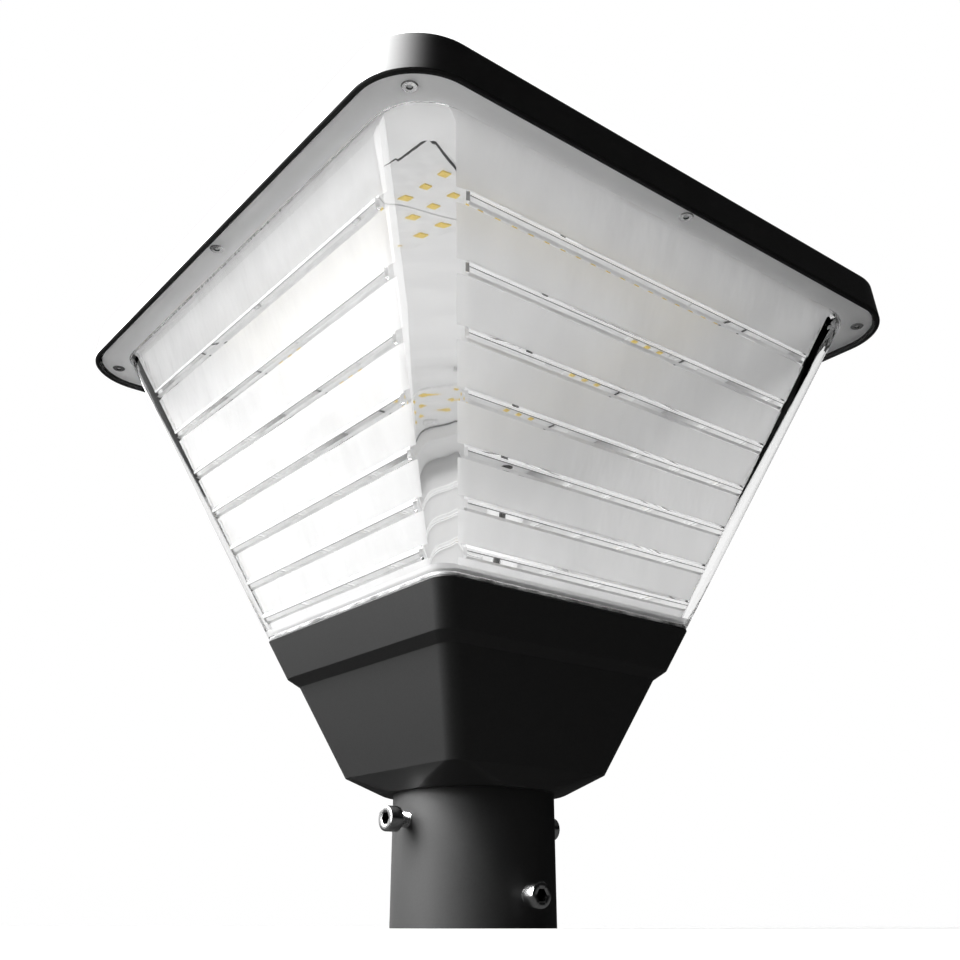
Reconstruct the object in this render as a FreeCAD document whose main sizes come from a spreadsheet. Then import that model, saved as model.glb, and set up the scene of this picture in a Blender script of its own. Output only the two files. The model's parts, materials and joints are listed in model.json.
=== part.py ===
"""Post top lantern: a square lantern head that slips over a 76 mm post.

The frame is +Z up, with the origin at the middle of the sleeve's lower end. All sizes are in millimetres.
The lantern's front face looks along -Y and its left face along -X.
"""
import FreeCAD, Part
import Sketcher
import math
import os
import re
from FreeCAD import Placement, Rotation, Vector

DIMENSIONS = {
    # post sleeve
    "sleeve_radius": 44.5,
    "socket_radius": 38.7,
    "sleeve_height": 68.0,
    "sleeve_web": 6.0,
    "mouth_chamfer": 1.2,
    "wire_hole_radius": 11.0,
    "wire_bore_radius": 7.5,
    "collar_width": 2.5,
    "collar_height": 2.0,
    "bolt_offset": 19.0,
    "bolt_radius": 3.0,
    "bolt_head_radius": 4.8,
    "bolt_head_height": 5.0,
    "bolt_length": 11.0,
    # pole screws
    "pole_screw_radius": 4.0,
    "pole_screw_play": 0.05,
    "pole_head_radius": 6.5,
    "pole_head_height": 7.5,
    "pole_shank_length": 9.5,
    "hex_key_size": 6.0,
    "hex_key_depth": 4.0,
    "upper_screw_height": 53.0,
    "lower_screw_height": 15.5,
    "upper_screw_reach": 58.4,
    "lower_screw_reach": 55.8,
    # base housing, outside
    "foot_half": 47.0,
    "foot_corner": 38.0,
    "waist_height": 78.0,
    "waist_half": 54.0,
    "waist_corner": 8.8,
    "step_low_height": 130.0,
    "step_low_half": 75.0,
    "step_high_height": 135.0,
    "step_high_half": 80.5,
    "base_top_height": 158.5,
    "base_top_half": 90.0,
    "base_corner": 9.2,
    # base housing, inside
    "base_floor": 6.0,
    "cavity_foot_half": 44.0,
    "cavity_foot_corner": 20.0,
    "cavity_knee": 6.0,
    "cavity_knee_half": 50.4,
    "cavity_step_half": 71.0,
    "cavity_top_half": 80.0,
    "cavity_corner": 6.0,
    "standoff_radius": 4.5,
    "standoff_height": 10.0,
    "standoff_x": 40.0,
    "standoff_y": 22.0,
    "cover_boss_radius": 6.4,
    "cover_boss_depth": 18.0,
    "cover_screw_offset": 73.5,
    "cover_hole_depth": 12.0,
    "bracket_hole_depth": 8.0,
    "earth_screw_offset": 34.0,
    "earth_screw_length": 4.0,
    # lens
    "seal_thickness": 1.5,
    "seal_half": 89.4,
    "seal_width": 8.0,
    "lens_foot_half": 90.0,
    "lens_foot_corner": 9.5,
    "lens_top_height": 350.0,
    "lens_top_half": 172.0,
    "lens_top_corner": 29.0,
    "lens_wall": 3.2,
    "lens_foot_flange": 3.0,
    "lens_foot_opening": 64.0,
    "flange_thickness": 3.0,
    "flange_half": 187.0,
    "flange_corner": 33.0,
    "first_rib_height": 317.8,
    "rib_pitch": 28.8,
    "rib_pitch_loss": 1.65,
    "rib_width": 6.6,
    "rib_proud": 1.5,
    "rib_bevel": 40.0,
    "rib_end_gap": 1.0,
    "rib_root": 0.5,
    # lens screws
    "corner_screw_offset": 171.0,
    "side_screw_offset": 182.0,
    "lens_screw_radius": 2.0,
    "lens_screw_head_radius": 4.0,
    "lens_screw_head_height": 2.0,
    "lens_screw_length": 14.0,
    "lens_screw_play": 0.2,
    # gasket
    "gasket_thickness": 1.5,
    "gasket_half": 178.5,
    "gasket_corner": 34.5,
    "gasket_width": 5.5,
    # reflector pan
    "pan_thickness": 1.0,
    "pan_rim_half": 186.0,
    "pan_rim_corner": 32.5,
    "pan_mouth_half": 142.0,
    "pan_deck_half": 138.0,
    "pan_corner": 4.0,
    "pan_depth": 8.5,
    "lead_hole_offset": 150.0,
    "lead_hole_radius": 5.0,
    "pan_screw_offset": 66.0,
    "pan_screw_length": 10.0,
    # top cap
    "cap_rim_height": 347.5,
    "cap_rim_half": 191.0,
    "cap_rim_corner": 36.5,
    "cap_edge_height": 372.0,
    "cap_edge_half": 188.6,
    "cap_crown_rise": 12.0,
    "cap_crown_half": 40.0,
    "cap_wall": 3.0,
    "cap_ceiling_half": 175.0,
    "cap_boss_radius": 5.5,
    # light boards
    "board_reach": 136.5,
    "board_width": 51.3,
    "board_gap": 1.0,
    "board_thickness": 1.6,
    "chip_size": 3.5,
    "chip_height": 0.8,
    "chip_reach": 115.0,
    "chip_pitch": 12.1,
    "chip_rows": 3.0,
    "chips_per_row": 17.0,
    "small_screw_radius": 1.5,
    "small_head_radius": 2.8,
    "small_head_height": 1.8,
    "small_screw_length": 4.0,
    # cover plate
    "cover_half": 82.0,
    "cover_corner": 6.0,
    "cover_thickness": 2.0,
    "cover_screw_radius": 2.5,
    "cover_head_radius": 4.5,
    "cover_head_height": 3.0,
    "cover_screw_length": 16.0,
    "cover_lead_offset": 50.0,
    "cover_lead_radius": 6.0,
    # gear inside the base
    "bracket_length": 94.0,
    "bracket_width": 58.0,
    "bracket_thickness": 1.5,
    "bracket_lip": 8.0,
    "driver_length": 72.0,
    "driver_width": 46.0,
    "driver_height": 31.0,
    "driver_tab": 8.0,
    "driver_tab_thickness": 2.5,
    "driver_round": 3.0,
    "surge_length": 48.0,
    "surge_width": 28.0,
    "surge_height": 22.0,
    "terminal_length": 44.0,
    "terminal_width": 20.0,
    "terminal_height": 16.0,
    "terminal_poles": 3.0,
    "connector_length": 16.0,
    "connector_width": 11.0,
    "connector_height": 7.0,
    "lead_radius": 2.6,
    "input_lead_radius": 2.2,
    "lead_play": 0.3,
}

# How far from its fold an outline may reach before the next one starts, as a share of the shorter run.
ARC_SHARE = 0.45

# The lead from the driver up to the light boards, along the far corner of the lens.
BOARD_LEAD_ROUTE = (
    (36, -8, 103), (54, -8, 103), (50, 50, 146), (50, 50, 184), (150, 150, 344), (150, 150, 368),
    (122, 101, 368), (104, 101, 368),
)

# The lead from the driver round to the terminal block.
INPUT_LEAD_ROUTE = ((-36, 8, 103), (-54, 8, 103), (-56, -28, 155), (-38, -28, 155))

doc = FreeCAD.newDocument("post_top_lantern")
sheet = doc.addObject("Spreadsheet::Sheet", "dims")


def fill_sheet():
    """Write every driving dimension beside its name."""
    for row, (alias, value) in enumerate(DIMENSIONS.items(), start=1):
        sheet.set(f"A{row}", alias)
        sheet.set(f"B{row}", str(value))
        sheet.setAlias(f"B{row}", alias)
    doc.recompute()


def dims(text):
    """Turn a formula in plain dimension names into one that reads the sheet."""
    return re.sub(r"[a-z_]+", lambda word: f"dims.{word[0]}" if word[0] in DIMENSIONS else word[0], text)


def value_of(text):
    """The number that a formula in dimension names gives."""
    return float(sheet.evalExpression(dims(text)))


def new_body(name):
    body = doc.addObject("PartDesign::Body", name)
    body.Label = name
    return body


def origin_feature(body, role):
    return next(feature for feature in body.Origin.OriginFeatures if feature.Role == role)


def new_sketch(body, name, plane="XY_Plane", at=("0", "0", "0")):
    """A sketch on one of the body's own planes, moved by `at` in that plane's own directions."""
    sketch = body.newObject("Sketcher::SketchObject", f"{body.Name}_{name}")
    sketch.AttachmentSupport = (origin_feature(body, plane), [""])
    sketch.MapMode = "FlatFace"
    for axis, formula in zip("xyz", at):
        if formula != "0":
            sketch.setExpression(f"AttachmentOffset.Base.{axis}", dims(formula))
    return sketch


def bind(sketch, constraint, name, formula):
    """Add a dimension to a sketch and tie it to the sheet."""
    index = sketch.addConstraint(constraint)
    sketch.renameConstraint(index, name)
    sketch.setExpression(f"Constraints.{name}", dims(formula))


def line(sketch, start, end):
    return sketch.addGeometry(Part.LineSegment(Vector(*start, 0), Vector(*end, 0)), False)


def arc(sketch, centre, radius, start_turns, end_turns):
    """An arc whose ends are given in quarter turns from local +X."""
    circle = Part.Circle(Vector(*centre, 0), Vector(0, 0, 1), radius)
    quarter = math.pi / 2
    return sketch.addGeometry(Part.ArcOfCircle(circle, start_turns * quarter, end_turns * quarter), False)


def rounded_square(body, name, half, corner, height):
    """A square outline with round corners, centred on the lantern's axis at the given height."""
    sketch = new_sketch(body, name, at=("0", "0", height))
    side = value_of(half)
    radius = value_of(corner)
    flat = side - radius
    line(sketch, (-flat, -side), (flat, -side))
    line(sketch, (side, -flat), (side, flat))
    line(sketch, (flat, side), (-flat, side))
    line(sketch, (-side, flat), (-side, -flat))
    for turn, centre in enumerate(((flat, -flat), (flat, flat), (-flat, flat), (-flat, -flat))):
        arc(sketch, centre, radius, turn - 1, turn)
    for index in range(4):
        sketch.addConstraint(Sketcher.Constraint("Tangent", index, 2, 4 + index, 1))
        sketch.addConstraint(Sketcher.Constraint("Tangent", 4 + index, 2, (index + 1) % 4, 1))
        sketch.addConstraint(Sketcher.Constraint("Vertical" if index % 2 else "Horizontal", index))
    for index in (5, 6, 7):
        sketch.addConstraint(Sketcher.Constraint("Equal", 4, index))
    sketch.addConstraint(Sketcher.Constraint("Equal", 0, 1))
    sketch.addConstraint(Sketcher.Constraint("Symmetric", 0, 1, 2, 1, -1, 1))
    bind(sketch, Sketcher.Constraint("DistanceY", -1, 1, 2, 1, side), "half", half)
    bind(sketch, Sketcher.Constraint("Radius", 4, radius), "corner", corner)
    return sketch


def circles(body, name, places, radius, height, plane="XY_Plane"):
    """Circles of one radius at (x, y) formulas of a plane, lifted to the given height above it."""
    sketch = new_sketch(body, name, plane, at=("0", "0", height))
    for number, (across, along) in enumerate(places):
        centre = (value_of(across), value_of(along))
        shape = Part.Circle(Vector(*centre, 0), Vector(0, 0, 1), value_of(radius))
        index = sketch.addGeometry(shape, False)
        bind(sketch, Sketcher.Constraint("Radius", index, value_of(radius)), f"radius{number}", radius)
        pin_point(sketch, index, 3, (across, along), f"centre{number}")
    return sketch


def pin_point(sketch, geometry, point, formulas, name):
    """Hold a point of a sketch at (x, y) formulas; a formula of 0 puts it on the axis."""
    across, along = formulas
    if across == "0":
        sketch.addConstraint(Sketcher.Constraint("PointOnObject", geometry, point, -2))
    else:
        held = Sketcher.Constraint("DistanceX", -1, 1, geometry, point, value_of(across))
        bind(sketch, held, f"{name}x", across)
    if along == "0":
        sketch.addConstraint(Sketcher.Constraint("PointOnObject", geometry, point, -1))
    else:
        held = Sketcher.Constraint("DistanceY", -1, 1, geometry, point, value_of(along))
        bind(sketch, held, f"{name}y", along)


def closed_outline(sketch, corners, prefix=""):
    """Straight lines through corners that are (x, y) formulas."""
    points = [(value_of(across), value_of(along)) for across, along in corners]
    count = len(points)
    sides = [line(sketch, start, points[(index + 1) % count]) for index, start in enumerate(points)]
    for index in range(count):
        joined = Sketcher.Constraint("Coincident", sides[index], 2, sides[(index + 1) % count], 1)
        sketch.addConstraint(joined)
    for index, corner in enumerate(corners):
        pin_point(sketch, sides[index], 1, corner, f"{prefix}p{index}")


def outline(body, name, corners, plane="XZ_Plane", at=("0", "0", "0")):
    """A sketch with one closed outline of straight lines."""
    sketch = new_sketch(body, name, plane, at)
    closed_outline(sketch, corners)
    return sketch


def hexagon(body, name, size):
    """A hexagon about the origin, by its size across flats; its corners lie on a helping circle."""
    sketch = new_sketch(body, name)
    flats = value_of(size)
    reach = flats / math.sqrt(3)
    points = [(reach * math.cos(k * math.pi / 3), reach * math.sin(k * math.pi / 3)) for k in range(6)]
    for index, start in enumerate(points):
        line(sketch, start, points[(index + 1) % 6])
    circle = sketch.addGeometry(Part.Circle(Vector(0, 0, 0), Vector(0, 0, 1), reach), True)
    sketch.addConstraint(Sketcher.Constraint("Coincident", circle, 3, -1, 1))
    for index in range(6):
        sketch.addConstraint(Sketcher.Constraint("Coincident", index, 2, (index + 1) % 6, 1))
        sketch.addConstraint(Sketcher.Constraint("PointOnObject", index, 1, circle))
        if index:
            sketch.addConstraint(Sketcher.Constraint("Equal", 0, index))
    sketch.addConstraint(Sketcher.Constraint("PointOnObject", 0, 1, -1))
    bind(sketch, Sketcher.Constraint("DistanceY", 4, 1, 1, 1, flats), "flats", size)
    return sketch


def octagons(body, name, places, radius, height):
    """Eight-sided outlines for small fasteners and their holes, with sides at the given distance from each place."""
    sketch = new_sketch(body, name, at=("0", "0", height))
    half_side = f"( {radius} ) * tan( 22.5 )"
    steps = ((radius, half_side, 1, 1), (half_side, radius, 1, 1), (half_side, radius, -1, 1), (radius, half_side, -1, 1),
             (radius, half_side, -1, -1), (half_side, radius, -1, -1), (half_side, radius, 1, -1),
             (radius, half_side, 1, -1))
    for number, (across, along) in enumerate(places):
        corners = [(f"( {across} ) + {sx} * {x}", f"( {along} ) + {sy} * {y}") for x, y, sx, sy in steps]
        closed_outline(sketch, corners, f"place{number}_")
    return sketch


def rectangle(body, name, centre, size, height):
    """A rectangle on a level plane, by its centre and full sizes."""
    (across, along), (width, depth) = centre, size
    low = (f"( {across} ) - ( {width} ) / 2", f"( {along} ) - ( {depth} ) / 2")
    high = (f"( {across} ) + ( {width} ) / 2", f"( {along} ) + ( {depth} ) / 2")
    corners = ((low[0], low[1]), (high[0], low[1]), (high[0], high[1]), (low[0], high[1]))
    return outline(body, name, corners, "XY_Plane", ("0", "0", height))


def square(body, name, half, height):
    """A sharp square about the lantern's axis."""
    return rectangle(body, name, ("0", "0"), (f"2 * {half}", f"2 * {half}"), height)


def volume(body):
    doc.recompute()
    return body.Shape.Volume if body.Tip and not body.Shape.isNull() else 0.0


def feature(body, kind, name, **settings):
    """Add a feature, tie its formulas to the sheet, and stop if it changes nothing."""
    before = volume(body)
    made = body.newObject(f"PartDesign::{kind}", f"{body.Name}_{name}")
    for key, setting in settings.items():
        if key.endswith("_formula"):
            made.setExpression(key[:-len("_formula")], dims(setting))
        else:
            setattr(made, key, setting)
    body.Tip = made
    after = volume(body)
    if abs(after - before) < 0.01:
        raise RuntimeError(f"{made.Name} changes nothing: {made.getStatusString()}")
    return made


def loft(body, name, sketches, kind="AdditiveLoft"):
    return feature(body, kind, name, Profile=sketches[0], Sections=list(sketches[1:]), Ruled=True)


def pad(body, name, sketch, length, **settings):
    return feature(body, "Pad", name, Profile=sketch, Length_formula=length, **settings)


def pocket(body, name, sketch, length, **settings):
    """Cut upwards from the sketch by the given length."""
    return feature(body, "Pocket", name, Profile=sketch, Length_formula=length, Reversed=True, **settings)


def revolve(body, name, sketch, kind="Revolution"):
    return feature(body, kind, name, Profile=sketch, ReferenceAxis=(sketch, ["V_Axis"]), Angle=360.0)


def four_times(body, name, originals):
    axis = (origin_feature(body, "Z_Axis"), [""])
    return feature(body, "PolarPattern", name, Originals=originals, Axis=axis, Angle=360.0, Occurrences=4)


def round_edges(body, name, chosen, radius, kind="Fillet", size_name="Radius"):
    """Round or chamfer the edges of the body that the test picks."""
    doc.recompute()
    picked = [f"Edge{index}" for index, edge in enumerate(body.Shape.Edges, start=1) if chosen(edge)]
    return feature(body, kind, name, Base=(body.Tip, picked), **{f"{size_name}_formula": radius})


def level_edges(height):
    """A test for edges that lie in one level plane."""
    level = value_of(height)

    def chosen(edge):
        box = edge.BoundBox
        return abs(box.ZMin - level) < 0.01 and abs(box.ZMax - level) < 0.01
    return chosen


def screw_group(name, places, head, shank, pattern=True):
    """Identical screws as separate solids of one body; head and shank are (radius, foot, length)."""
    body = new_body(name)
    for number, place in enumerate(places):
        made = []
        for part, (radius, foot, length) in (("shank", shank), ("head", head)):
            made.append(pad(body, f"{part}{number}", octagons(body, f"{part}_outline{number}", (place,), radius, foot),
                            length))
        if pattern:
            four_times(body, f"ring{number}", made)
    return body


def driven(head_radius, head_height, radius, length, seat):
    """Head and shank of a screw that is driven downwards onto its seat."""
    return (head_radius, seat, head_height), (radius, f"{seat} - {length}", length)


def hung(head_radius, head_height, radius, length, seat):
    """Head and shank of a screw that is driven upwards against its seat."""
    return (head_radius, f"{seat} - {head_height}", head_height), (radius, seat, length)


# Levels that several pieces share, as formulas in the sheet's names.
FLOOR_TOP = "( sleeve_height + base_floor )"
LENS_FOOT = "( base_top_height + seal_thickness )"
LENS_FLOOR_TOP = "( base_top_height + seal_thickness + lens_foot_flange )"
COVER_TOP = f"( {LENS_FLOOR_TOP} + cover_thickness )"
FLANGE_TOP = "( lens_top_height + flange_thickness )"
PAN_RIM = f"( {FLANGE_TOP} + gasket_thickness )"
PAN_RIM_TOP = f"( {PAN_RIM} + pan_thickness )"
DECK = f"( {PAN_RIM_TOP} + pan_depth )"
BOARD_FACE = f"( {DECK} - board_thickness )"
BRACKET_FOOT = f"( {FLOOR_TOP} + standoff_height )"
DRIVER_FOOT = f"( {BRACKET_FOOT} + bracket_thickness )"
LENS_HEIGHT = f"( lens_top_height - {LENS_FOOT} )"
LENS_SPREAD = "( lens_top_half - lens_foot_half )"
CORNER_GROWTH = "( lens_top_corner - lens_foot_corner )"
LENS_SLOPE = f"atan( {LENS_SPREAD} / {LENS_HEIGHT} )"

EARTH_PLACE = (("0", "earth_screw_offset"),)


def make_post_sleeve():
    body = new_body("post_sleeve")
    section = outline(body, "section", (
        ("wire_hole_radius", "sleeve_height - sleeve_web"),
        ("socket_radius", "sleeve_height - sleeve_web"),
        ("socket_radius", "mouth_chamfer"),
        ("socket_radius + mouth_chamfer", "0"),
        ("sleeve_radius", "0"),
        ("sleeve_radius", "sleeve_height"),
        ("wire_hole_radius", "sleeve_height"),
    ))
    revolve(body, "tube", section)
    hole = "pole_screw_radius + pole_screw_play"
    upper = circles(body, "upper_holes", (("0", "upper_screw_height"),), hole, "0", "YZ_Plane")
    pocket(body, "upper_cut", upper, "sleeve_radius * 2.2", Midplane=True)
    lower = circles(body, "lower_holes", (("0", "lower_screw_height"),), hole, "0", "XZ_Plane")
    pocket(body, "lower_cut", lower, "sleeve_radius * 2.2", Midplane=True)
    bolt = octagons(body, "bolt_hole", (("bolt_offset", "bolt_offset"),), "bolt_radius",
                    "sleeve_height - sleeve_web")
    hole_cut = pocket(body, "bolt_cut", bolt, "sleeve_web")
    four_times(body, "bolt_holes", [hole_cut])
    return body


def make_pole_screw(name, reach, height, rotation, side):
    """A socket head cap screw that points inwards; `side` is its direction from the axis."""
    body = new_body(name)
    tip = "pole_head_height + pole_shank_length"
    section = outline(body, "section", (
        ("0", "0"),
        ("pole_head_radius - 0.6", "0"),
        ("pole_head_radius", "0.6"),
        ("pole_head_radius", "pole_head_height"),
        ("pole_screw_radius", "pole_head_height"),
        ("pole_screw_radius", f"{tip} - 0.8"),
        ("pole_screw_radius - 0.8", tip),
        ("0", tip),
    ))
    revolve(body, "turned", section)
    key = hexagon(body, "key", "hex_key_size")
    pocket(body, "hex", key, "hex_key_depth")
    body.Placement = Placement(Vector(0, 0, 0), rotation)
    across, along = side
    if across:
        body.setExpression("Placement.Base.x", dims(f"{across} * {reach}"))
    if along:
        body.setExpression("Placement.Base.y", dims(f"{along} * {reach}"))
    body.setExpression("Placement.Base.z", dims(height))
    return body


def make_pole_screws():
    upper = ("upper_screw_reach", "upper_screw_height")
    lower = ("lower_screw_reach", "lower_screw_height")
    make_pole_screw("pole_screw_left", *upper, Rotation(Vector(0, 1, 0), 90), (-1, 0))
    make_pole_screw("pole_screw_right", *upper, Rotation(Vector(0, 1, 0), -90), (1, 0))
    make_pole_screw("pole_screw_front", *lower, Rotation(Vector(1, 0, 0), -90), (0, -1))
    make_pole_screw("pole_screw_back", *lower, Rotation(Vector(1, 0, 0), 90), (0, 1))


def make_base_housing():
    """Stepped square casting that turns round at its foot, hollow above a floor."""
    body = new_body("base_housing")
    levels = (
        ("foot", "foot_half", "foot_corner", "sleeve_height"),
        ("waist", "waist_half", "waist_corner", "waist_height"),
        ("step_low", "step_low_half", "base_corner", "step_low_height"),
        ("step_high", "step_high_half", "base_corner", "step_high_height"),
        ("top", "base_top_half", "base_corner", "base_top_height"),
    )
    loft(body, "outside", [rounded_square(body, *level) for level in levels])
    cavity = (
        ("cavity_floor", "cavity_foot_half", "cavity_foot_corner", FLOOR_TOP),
        ("cavity_bend", "cavity_knee_half", "cavity_corner", f"{FLOOR_TOP} + cavity_knee"),
        ("cavity_step", "cavity_step_half", "cavity_corner", "step_low_height"),
        ("cavity_mouth", "cavity_top_half", "cavity_corner", "base_top_height"),
    )
    loft(body, "inside", [rounded_square(body, *level) for level in cavity], "SubtractiveLoft")
    posts = bracket_screw_places()
    pad(body, "standoffs", octagons(body, "standoff", posts, "standoff_radius", FLOOR_TOP), "standoff_height")
    cover = (("cover_screw_offset", "0"),)
    boss = octagons(body, "boss", cover, "cover_boss_radius", "base_top_height - cover_boss_depth")
    four_times(body, "bosses", [pad(body, "cover_boss", boss, "cover_boss_depth")])
    drill = octagons(body, "drill", cover, "cover_screw_radius", "base_top_height - cover_hole_depth")
    four_times(body, "tapped", [pocket(body, "cover_hole", drill, "cover_hole_depth")])
    bracket_drill = octagons(body, "bracket_drill", posts, "small_screw_radius", f"{BRACKET_FOOT} - bracket_hole_depth")
    pocket(body, "bracket_holes", bracket_drill, "bracket_hole_depth")
    wire = circles(body, "wire_hole", (("0", "0"),), "wire_hole_radius", "sleeve_height")
    pocket(body, "wire_way", wire, "base_floor")
    bolt = octagons(body, "bolt_hole", (("bolt_offset", "bolt_offset"),), "bolt_radius", "sleeve_height")
    four_times(body, "bolt_holes", [pocket(body, "bolt_cut", bolt, "base_floor")])
    earth = octagons(body, "earth_drill", EARTH_PLACE, "cover_screw_radius", f"{FLOOR_TOP} - earth_screw_length")
    pocket(body, "earth_hole", earth, "earth_screw_length")
    return body


def bracket_screw_places():
    return [(f"{sx} * standoff_x", f"{sy} * standoff_y") for sx in (-1, 1) for sy in (-1, 1)]


def ring(name, half, corner, width, height, thickness):
    """A flat square ring of constant width."""
    body = new_body(name)
    outer = rounded_square(body, "outer", half, corner, height)
    pad(body, "plate", outer, thickness)
    inner = rounded_square(body, "inner", f"{half} - ( {width} )", f"{corner} - ( {width} )", height)
    pocket(body, "opening", inner, thickness)
    return body


def make_seals():
    ring("base_seal", "seal_half", "base_corner", "seal_width", "base_top_height", "seal_thickness")
    ring("lens_gasket", "gasket_half", "gasket_corner", "gasket_width", FLANGE_TOP, "gasket_thickness")


def rib_height(index):
    """Height of a rib's middle; the ribs crowd together towards the foot."""
    loss = index * (index - 1) / 2
    return f"( first_rib_height - {index} * rib_pitch + {loss} * rib_pitch_loss )"


def rib_outline(sketch, index):
    """The foot of one rib on the sloping face; its bevel comes from the pad."""
    share = f"( ( {rib_height(index)} - {LENS_FOOT} ) / {LENS_HEIGHT} )"
    reach = f"lens_foot_half + {LENS_SPREAD} * {share}"
    corner = f"lens_foot_corner + {CORNER_GROWTH} * {share}"
    flat = f"( {reach} - ( {corner} ) - rib_end_gap )"
    level = f"( ( {rib_height(index)} - {LENS_FOOT} ) / cos( {LENS_SLOPE} ) )"
    low = f"{level} - rib_width / 2"
    high = f"{level} + rib_width / 2"
    corners = ((f"0 - {flat}", low), (flat, low), (flat, high), (f"0 - {flat}", high))
    closed_outline(sketch, corners, f"rib{index}_")


def make_lens():
    """Upside-down pyramid with cone-shaped corners, a ribbed front on each side, and two flanges."""
    body = new_body("lens")
    foot = rounded_square(body, "foot", "lens_foot_half", "lens_foot_corner", LENS_FOOT)
    top = rounded_square(body, "top", "lens_top_half", "lens_top_corner", "lens_top_height")
    loft(body, "outside", (foot, top))
    flange = rounded_square(body, "flange", "flange_half", "flange_corner", "lens_top_height")
    pad(body, "flange_plate", flange, "flange_thickness")
    inner_share = f"( flange_thickness / {LENS_HEIGHT} )"
    inside = (
        ("cavity_foot", f"lens_foot_half - lens_wall + {LENS_SPREAD} * lens_foot_flange / {LENS_HEIGHT}",
         "lens_foot_corner - lens_wall", LENS_FLOOR_TOP),
        ("cavity_top", f"lens_top_half - lens_wall + {LENS_SPREAD} * {inner_share}",
         "lens_top_corner - lens_wall", FLANGE_TOP),
    )
    loft(body, "inside", [rounded_square(body, *level) for level in inside], "SubtractiveLoft")
    opening = rounded_square(body, "opening", "lens_foot_opening", "cover_corner", LENS_FOOT)
    pocket(body, "foot_opening", opening, "lens_foot_flange")
    drill = octagons(body, "drill", (("cover_screw_offset", "0"),), "cover_screw_radius", LENS_FOOT)
    four_times(body, "foot_holes", [pocket(body, "foot_hole", drill, "lens_foot_flange")])
    face = new_sketch(body, "face", "XZ_Plane", ("0", LENS_FOOT, f"lens_foot_half - rib_root / cos( {LENS_SLOPE} )"))
    tilt = face.AttachmentOffset
    tilt.Rotation = Rotation(Vector(1, 0, 0), value_of(LENS_SLOPE))
    face.AttachmentOffset = tilt
    face.setExpression("AttachmentOffset.Rotation.Angle", dims(LENS_SLOPE))
    for index in range(7):
        rib_outline(face, index)
    ribs = pad(body, "ribs", face, "rib_proud + rib_root", TaperAngle_formula="0 - rib_bevel")
    four_times(body, "all_ribs", [ribs])
    for number, place in enumerate(screw_places()):
        for part, radius, depth in (("bore", "lens_screw_radius", "flange_thickness"),
                                    ("sink", "lens_screw_head_radius", "lens_screw_head_height")):
            drill = octagons(body, f"{part}_outline{number}", (place,), f"( {radius} + lens_screw_play )",
                             "lens_top_height")
            four_times(body, f"{part}s{number}", [pocket(body, f"{part}{number}", drill, depth)])
    return body


def screw_places():
    """One corner screw and one side screw; the other six follow by quarter turns."""
    return (("corner_screw_offset", "corner_screw_offset"), ("side_screw_offset", "0"))


def make_lens_screws():
    """Flush screws, driven upwards through the flange."""
    shape = hung("lens_screw_head_radius", "lens_screw_head_height", "lens_screw_radius",
                 "( lens_screw_length - lens_screw_head_height )", "( lens_top_height + lens_screw_head_height )")
    return screw_group("lens_screws", screw_places(), *shape)


def make_reflector_pan():
    """Sheet pan: a level rim over the lens flange and a shallow square recess for the boards."""
    body = new_body("reflector_pan")
    rim = rounded_square(body, "rim", "pan_rim_half", "pan_rim_corner", PAN_RIM)
    pad(body, "rim_plate", rim, "pan_thickness")
    skin = (
        ("skin_low", "pan_mouth_half + pan_thickness", "pan_corner + pan_thickness", PAN_RIM),
        ("skin_high", "pan_deck_half + pan_thickness", "pan_corner + pan_thickness",
         f"{DECK} + pan_thickness"),
    )
    loft(body, "recess", [rounded_square(body, *level) for level in skin])
    hollow = (
        ("hollow_low", "pan_mouth_half", "pan_corner", PAN_RIM),
        ("hollow_high", "pan_deck_half", "pan_corner", DECK),
    )
    loft(body, "hollow", [rounded_square(body, *level) for level in hollow], "SubtractiveLoft")
    for number, place in enumerate(screw_places()):
        drill = octagons(body, f"drill{number}", (place,), "( lens_screw_radius + lens_screw_play )", PAN_RIM)
        four_times(body, f"rim_holes{number}", [pocket(body, f"rim_hole{number}", drill, "pan_thickness")])
    lead = octagons(body, "lead_drill", (("lead_hole_offset", "lead_hole_offset"),), "lead_hole_radius", PAN_RIM)
    pocket(body, "lead_hole", lead, "pan_thickness")
    middle = octagons(body, "middle_drill", (("pan_screw_offset", "0"),), "cover_screw_radius", DECK)
    four_times(body, "middle_holes", [pocket(body, "middle_hole", middle, "pan_thickness")])
    board = octagons(body, "board_drill", board_screw_places(), "small_screw_radius", DECK)
    four_times(body, "board_holes", [pocket(body, "board_hole", board, "pan_thickness")])
    return body


def make_pan_screws():
    """Screws that hold the middle of the pan up against the cap."""
    shape = hung("cover_head_radius", "cover_head_height", "cover_screw_radius", "pan_screw_length", DECK)
    return screw_group("pan_screws", (("pan_screw_offset", "0"),), *shape)


def make_light_boards():
    """Four strip boards round the deck, each with its own rows of chips; each runs up to the next one's side."""
    for turn, name in enumerate(("front_left", "front_right", "back_right", "back_left")):
        rotation = Rotation(Vector(0, 0, 1), 90 * turn)
        for body in (make_light_board(f"light_board_{name}"), make_chips(f"chips_{name}")):
            body.Placement = Placement(Vector(0, 0, 0), rotation)
    shape = hung("small_head_radius", "small_head_height", "small_screw_radius", "small_screw_length", BOARD_FACE)
    screw_group("board_screws", board_screw_places(), *shape)


def board_screw_places():
    """Two screws in the outer margin of the front board."""
    return [(f"{side} * chip_reach / 2", "0 - ( board_reach + chip_reach ) / 2") for side in (-1, 1)]


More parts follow.
